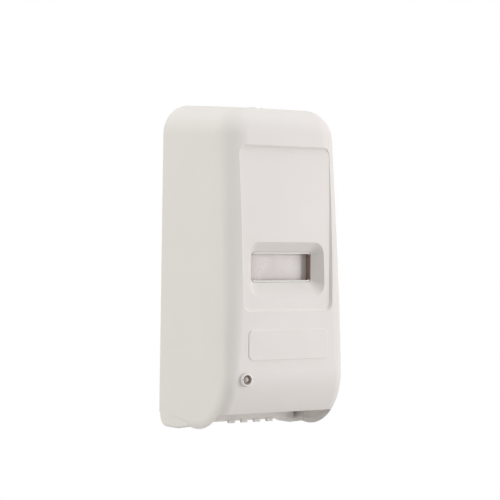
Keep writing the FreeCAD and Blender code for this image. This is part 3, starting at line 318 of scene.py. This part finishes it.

# a dark ring of tube, sunk between the sensor light and its bezel, that paints the shade in the gap between
# them
WELL_RING, WELL_RADIUS, WELL_SUNK, WELL_STEPS = 3.45 * MM, 0.5 * MM, 2.1 * MM, 24
bezel_low, bezel_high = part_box("indicator_bezel")
well_path = arc((bezel_low.x + bezel_high.x) / 2, (bezel_low.z + bezel_high.z) / 2, WELL_RING,
                bezel_low.y + WELL_SUNK, 0, 360 - 360 / WELL_STEPS, WELL_STEPS - 1)
tube("light_shade_ring", well_path, WELL_RADIUS, "cover", "window_frame", closed=True)


def blocks(name, boxes, body, slot, turns=None):
    """One piece made of boxes, each a centre and a size in millimetres, turned about Z if asked."""
    shape = bmesh.new()
    for number, (centre, sides) in enumerate(boxes):
        turn = Matrix.Rotation(turns[number], 4, "Z") if turns else Matrix()
        made = bmesh.ops.create_cube(shape, size=1)["verts"]
        stretch = Matrix.Diagonal((*(side * MM for side in sides), 1))
        bmesh.ops.transform(shape, verts=made,
                            matrix=Matrix.Translation(Vector(centre) * MM) @ turn @ stretch)
    bmesh.ops.bevel(shape, geom=list(shape.edges), offset=BLOCK_BEVEL, segments=2, affect="EDGES")
    keep(name, shape, body, slot)


def drum(name, centre, radius, length, body, slot):
    """A short cylinder along Y about its centre, in metres, with a bevelled rim."""
    shape = bmesh.new()
    turn = Matrix.Rotation(radians(90), 4, "X")
    bmesh.ops.create_cone(shape, cap_ends=True, segments=32, radius1=radius, radius2=radius,
                          depth=length, matrix=Matrix.Translation(centre) @ turn)
    rim = [line for line in shape.edges if line.calc_face_angle(0) > 1]
    bmesh.ops.bevel(shape, geom=rim, offset=0.1 * radius, segments=2, affect="EDGES")
    keep(name, shape, body, slot)


# grip ribs round the bottle's cap
RIBS, RIB_SIZE, RIB_RISE = 40, (0.7, 1.0, 8.2), 4.9
cap_low, cap_high = (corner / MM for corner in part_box("bottle_cap"))
cap_x, cap_y = (cap_low.x + cap_high.x) / 2, (cap_low.y + cap_high.y) / 2
cap_radius = (cap_high.x - cap_low.x) / 2
angles = [2 * pi * step / RIBS for step in range(RIBS)]
blocks("cap_ribs", [((cap_x + cap_radius * cos(a), cap_y + cap_radius * sin(a), cap_low.z + RIB_RISE),
                     RIB_SIZE) for a in angles], "cap", "cap_blue", angles)

# parts soldered to the front of the control board, each placed from the board's middle by its
# centre across and up, then its width, thickness and height, in millimetres
board_low, board_high = (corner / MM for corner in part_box("control_board"))
board_x, board_z = (board_low.x + board_high.x) / 2, (board_low.z + board_high.z) / 2
CHIP_X, CHIP_RISE, LEG_REACH, LEG_PITCH, LEGS = -6, -0.5, 6, 1.5, 7
PLUG_X, PLUG_RISE, PLUG_THICK = 26, 15.5, 5


def on_board(across, up, wide, thick, tall):
    """A box that stands on the board's front."""
    return (board_x + across, board_low.y - thick / 2, board_z + up), (wide, thick, tall)


blocks("board_chips", [on_board(CHIP_X, CHIP_RISE, 11, 1.4, 11), on_board(14, -9.5, 5, 1.2, 4),
                       on_board(-24, -8.5, 6, 1.2, 5)], "root", "black_plastic")
blocks("board_connectors", [on_board(PLUG_X, PLUG_RISE, 12, PLUG_THICK, 5),
                            on_board(-PLUG_X, PLUG_RISE, 10, PLUG_THICK, 5)], "root", "roller_white")
blocks("board_chip_legs", [on_board(CHIP_X + side * LEG_REACH,
                                    CHIP_RISE + LEG_PITCH * (leg - (LEGS - 1) / 2), 1.6, 0.5, 0.5)
                           for side in (-1, 1) for leg in range(LEGS)], "root", "contact_nickel")
CAN_RADIUS, CAN_LENGTH, CAN_RISE = 3 * MM, 8 * MM, 13.5
for number, across in enumerate((4, -12), start=1):
    centre = Vector((board_x + across, board_low.y, board_z + CAN_RISE)) * MM
    drum(f"board_capacitor_{number}", centre - Vector((0, CAN_LENGTH / 2, 0)), CAN_RADIUS, CAN_LENGTH,
         "root", "cell_sleeve")

# the motor's two leads, from its back to the right connector, as smooth curves in millimetres
LEAD_RADIUS, LEAD_STEPS = 0.6 * MM, 14
LEAVING, ARRIVING = Vector((0, 6, 0)), Vector((0, -9, -4))
motor_low, motor_high = (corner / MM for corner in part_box("motor"))
motor_x, motor_z = (motor_low.x + motor_high.x) / 2, (motor_low.z + motor_high.z) / 2


def curve_point(ends, t):
    """The point at t, from 0 to 1, of a cubic curve with four control points."""
    one, two, three, four = ends
    back = 1 - t
    return back ** 3 * one + 3 * t * back ** 2 * two + 3 * t * t * back * three + t ** 3 * four


for number, (side, slot) in enumerate(((-1, "switch_red"), (1, "black_plastic")), start=1):
    start = Vector((motor_x + side * 3, motor_high.y - 0.2, motor_z + 2))
    end = Vector((board_x + PLUG_X + side * 2, board_low.y - PLUG_THICK - 0.2, board_z + PLUG_RISE))
    ends = (start, start + LEAVING, end + ARRIVING, end)
    path = [curve_point(ends, step / LEAD_STEPS) * MM for step in range(LEAD_STEPS + 1)]
    tube(f"motor_lead_{number}", path, LEAD_RADIUS, "root", slot)


# ---------------------------------------------------------------- stage, light and camera

FLOOR_LEVEL, FLOOR_REACH = -0.46, 2


def pale_ground(colour):
    """A matt floor of one colour for the light that it returns, white where the camera sees it."""
    made = Finish("pale_ground")
    made.set(Base_Color=(*colour, 1), Roughness=0.9)
    glow = made.add("ShaderNodeEmission")
    glow.inputs["Color"].default_value = (1, 1, 1, 1)
    glow.inputs["Strength"].default_value = 1.0
    path = made.add("ShaderNodeLightPath")
    mix = made.add("ShaderNodeMixShader")
    made.link(path.outputs["Is Camera Ray"], mix.inputs[0])
    made.link(made.shader.outputs["BSDF"], mix.inputs[1])
    made.link(glow.outputs["Emission"], mix.inputs[2])
    made.link(mix.outputs["Shader"], made.tree.nodes["Material Output"].inputs["Surface"])
    return made.material


corners = [(x * FLOOR_REACH, y * FLOOR_REACH, FLOOR_LEVEL) for x, y in ((-1, -1), (1, -1), (1, 1), (-1, 1))]
floor_mesh = bpy.data.meshes.new("floor")
floor_mesh.from_pydata(corners, [], [(0, 1, 2, 3)])
floor_mesh.materials.append(pale_ground((0.66, 0.65, 0.64)))
floor = bpy.data.objects.new("floor", floor_mesh)
bpy.context.scene.collection.objects.link(floor)


def lamp(name, place, aim, size, power, colour=(1, 1, 1)):
    """A rectangular area lamp, in watts, that faces a point."""
    data = bpy.data.lights.new(name, "AREA")
    data.shape = "RECTANGLE"
    data.size, data.size_y = size
    data.energy = power
    data.color = colour
    made = bpy.data.objects.new(name, data)
    made.location = place
    made.rotation_euler = (Vector(aim) - Vector(place)).to_track_quat("-Z", "Y").to_euler()
    bpy.context.scene.collection.objects.link(made)


lamp("key_right", (1.25, -1.45, 0.0), (0.0, -0.06, 0.0), (1.0, 0.9), 15, (1.0, 0.975, 0.985))
lamp("fill_left", (-1.6, 0.35, 0.3), (-0.03, -0.05, 0.0), (1.0, 1.3), 10, (1.0, 0.99, 0.93))
lamp("top_soft", (0.0, -0.4, 1.6), (0.0, -0.05, 0.0), (1.3, 1.2), 11)

# a soft sky, brighter from above, that the camera, reflections and glass see as plain white
world = bpy.data.worlds.new("studio")
world.use_nodes = True
bpy.context.scene.world = world
sky = world.node_tree


def sky_node(kind, inputs=(), **settings):
    """A node of the world, with values on its named inputs and its settings."""
    node = sky.nodes.new(kind)
    for key, value in dict(inputs).items():
        node.inputs[key].default_value = value
    for key, value in settings.items():
        setattr(node, key, value)
    return node


ground = sky.nodes["Background"]
ground.inputs["Color"].default_value = (0.96, 0.97, 0.98, 1)
direction = sky_node("ShaderNodeTexCoord")
height = sky_node("ShaderNodeSeparateXYZ")
level = sky_node("ShaderNodeMapRange", {"From Min": -0.9, "From Max": 0.3, "To Min": 0.36, "To Max": 0.5})
shown = sky_node("ShaderNodeBackground", {"Color": (1, 1, 1, 1), "Strength": 1.0})
path = sky_node("ShaderNodeLightPath")
seen_or_glossy = sky_node("ShaderNodeMath", operation="MAXIMUM")
plain = sky_node("ShaderNodeMath", operation="ADD", use_clamp=True)
blend = sky_node("ShaderNodeMixShader")
for output, target in (
        (direction.outputs["Generated"], height.inputs[0]),
        (height.outputs["Z"], level.inputs["Value"]),
        (level.outputs["Result"], ground.inputs["Strength"]),
        (path.outputs["Is Camera Ray"], seen_or_glossy.inputs[0]),
        (path.outputs["Is Glossy Ray"], seen_or_glossy.inputs[1]),
        (seen_or_glossy.outputs[0], plain.inputs[0]),
        (path.outputs["Is Transmission Ray"], plain.inputs[1]),
        (plain.outputs[0], blend.inputs[0]),
        (ground.outputs[0], blend.inputs[1]),
        (shown.outputs[0], blend.inputs[2]),
        (blend.outputs[0], sky.nodes["World Output"].inputs["Surface"])):
    sky.links.new(output, target)

eye = bpy.data.cameras.new("eye")
eye.sensor_width = 36
eye.lens = 129.2
eye.shift_x, eye.shift_y = 0.0168, -0.014
viewer = bpy.data.objects.new("eye", eye)
viewer.location = (-0.852, -1.350, 0.0064)
viewer.rotation_euler = (radians(90), radians(-0.45), radians(-33))
bpy.context.scene.collection.objects.link(viewer)
bpy.context.scene.camera = viewer
bpy.context.scene.view_settings.view_transform = "Standard"
